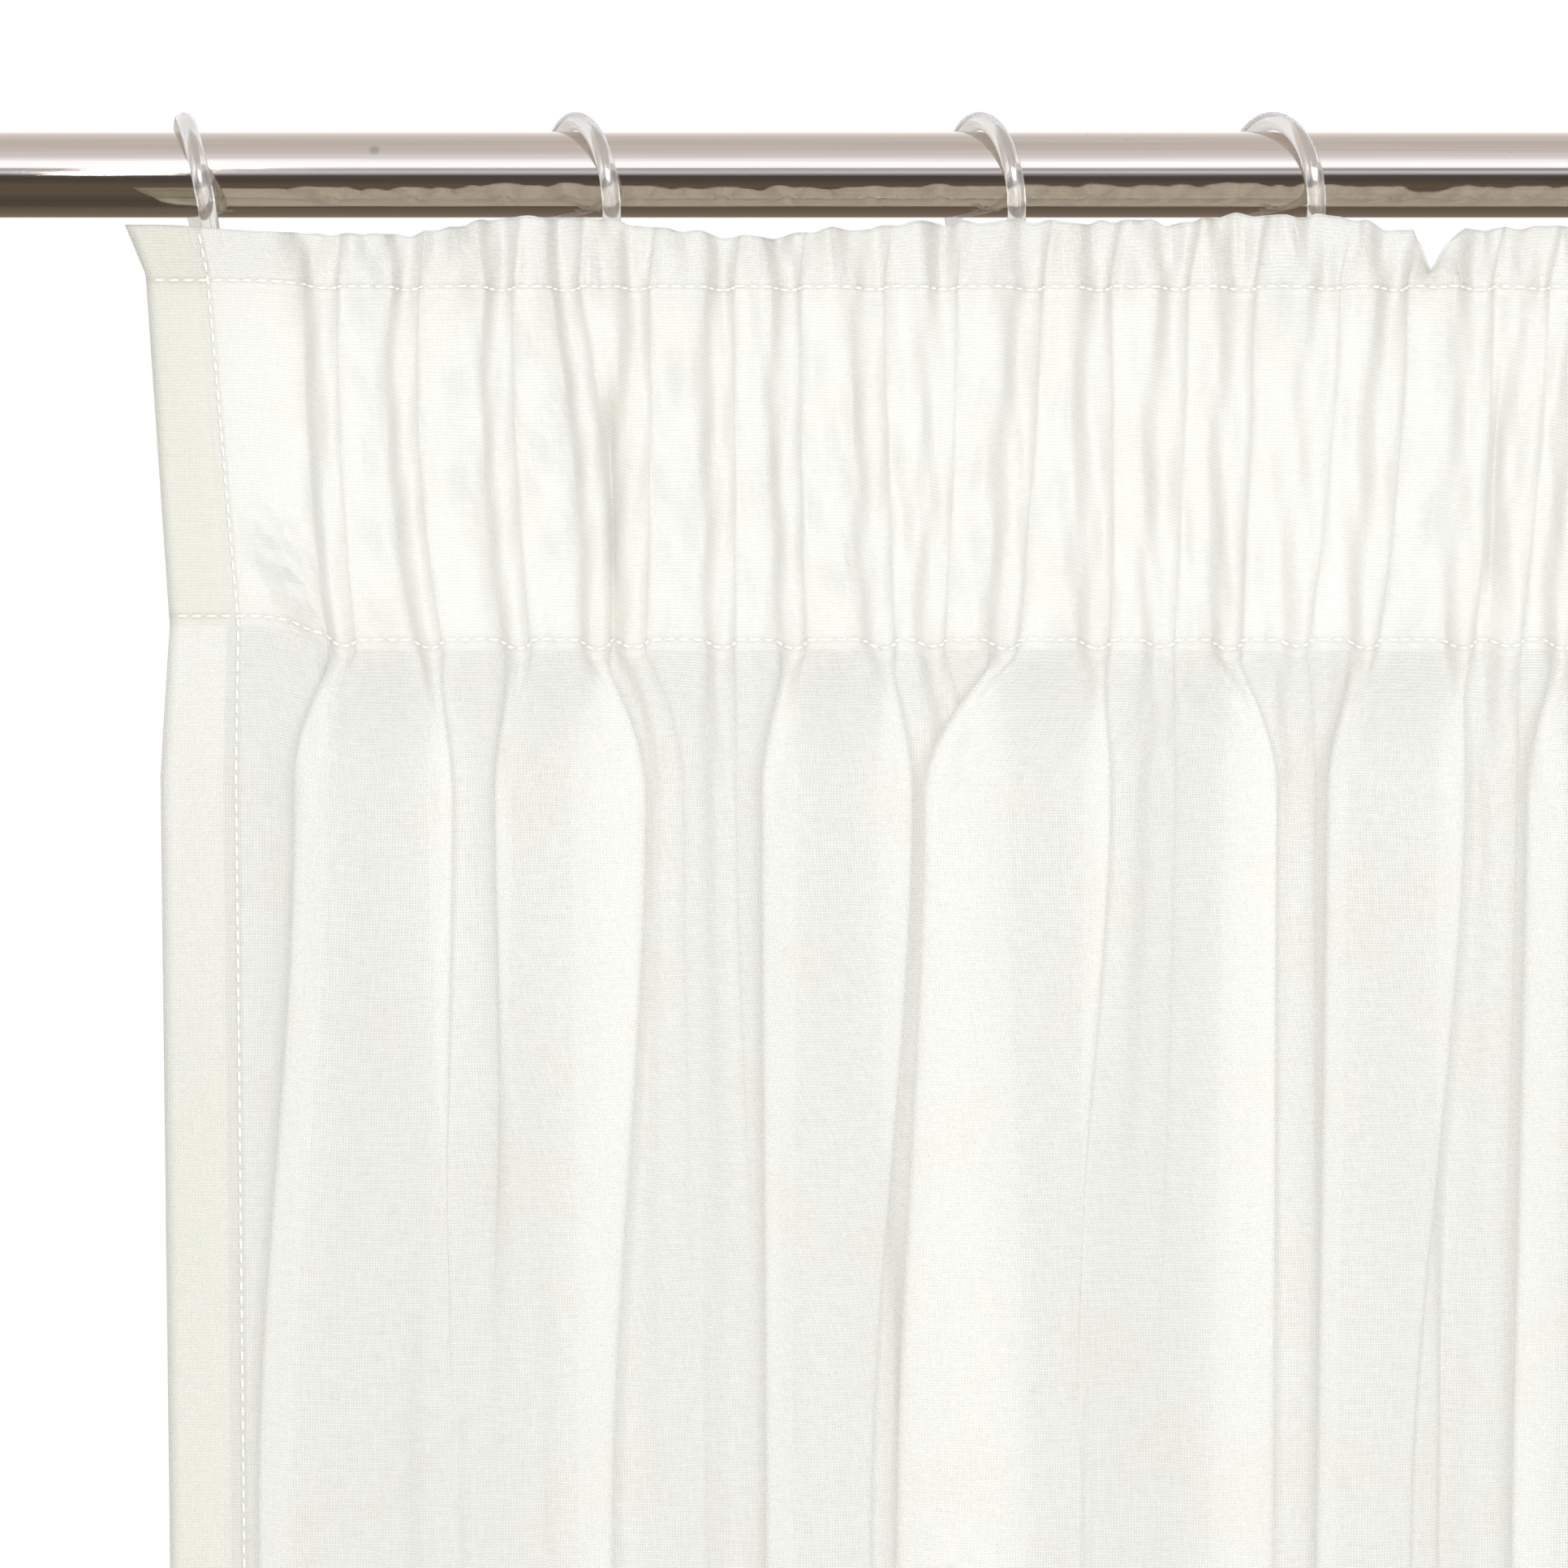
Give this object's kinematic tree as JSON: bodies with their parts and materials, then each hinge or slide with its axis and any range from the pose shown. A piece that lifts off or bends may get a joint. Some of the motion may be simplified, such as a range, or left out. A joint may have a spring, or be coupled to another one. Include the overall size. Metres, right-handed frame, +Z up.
{
  "type": "sheer voile curtain and rod",
  "caption": "Gathered sheer voile curtain with a pencil-pleat heading tape, hung by clear rings from a plain round metal rod.",
  "frame": {"origin": "centre of the rod's left end face, left as seen from the room", "axes": "+X along the rod to the right, -Y towards the room, +Z up"},
  "size_m": [0.76, 0.0489, 1.3919],
  "materials": {
    "voile": "sheer plain-woven voile, off-white, matt, lets light through",
    "tape": "woven white heading tape, matt",
    "rod": "polished steel tube with faint lengthwise scratches",
    "ring": "clear moulded plastic, glossy",
    "hook": "white moulded plastic"
  },
  "bodies": {
    "root": {"voile_panel": "voile", "heading_tape": "tape", "rod": "rod", "ring_1": "ring", "ring_2": "ring", "ring_3": "ring", "ring_4": "ring", "ring_5": "ring", "ring_6": "ring", "ring_7": "ring", "ring_8": "ring", "ring_9": "ring", "hook_1": "hook", "hook_2": "hook", "hook_3": "hook", "hook_4": "hook", "hook_5": "hook", "hook_6": "hook", "hook_7": "hook", "hook_8": "hook", "hook_9": "hook"}
  },
  "joints": []
}
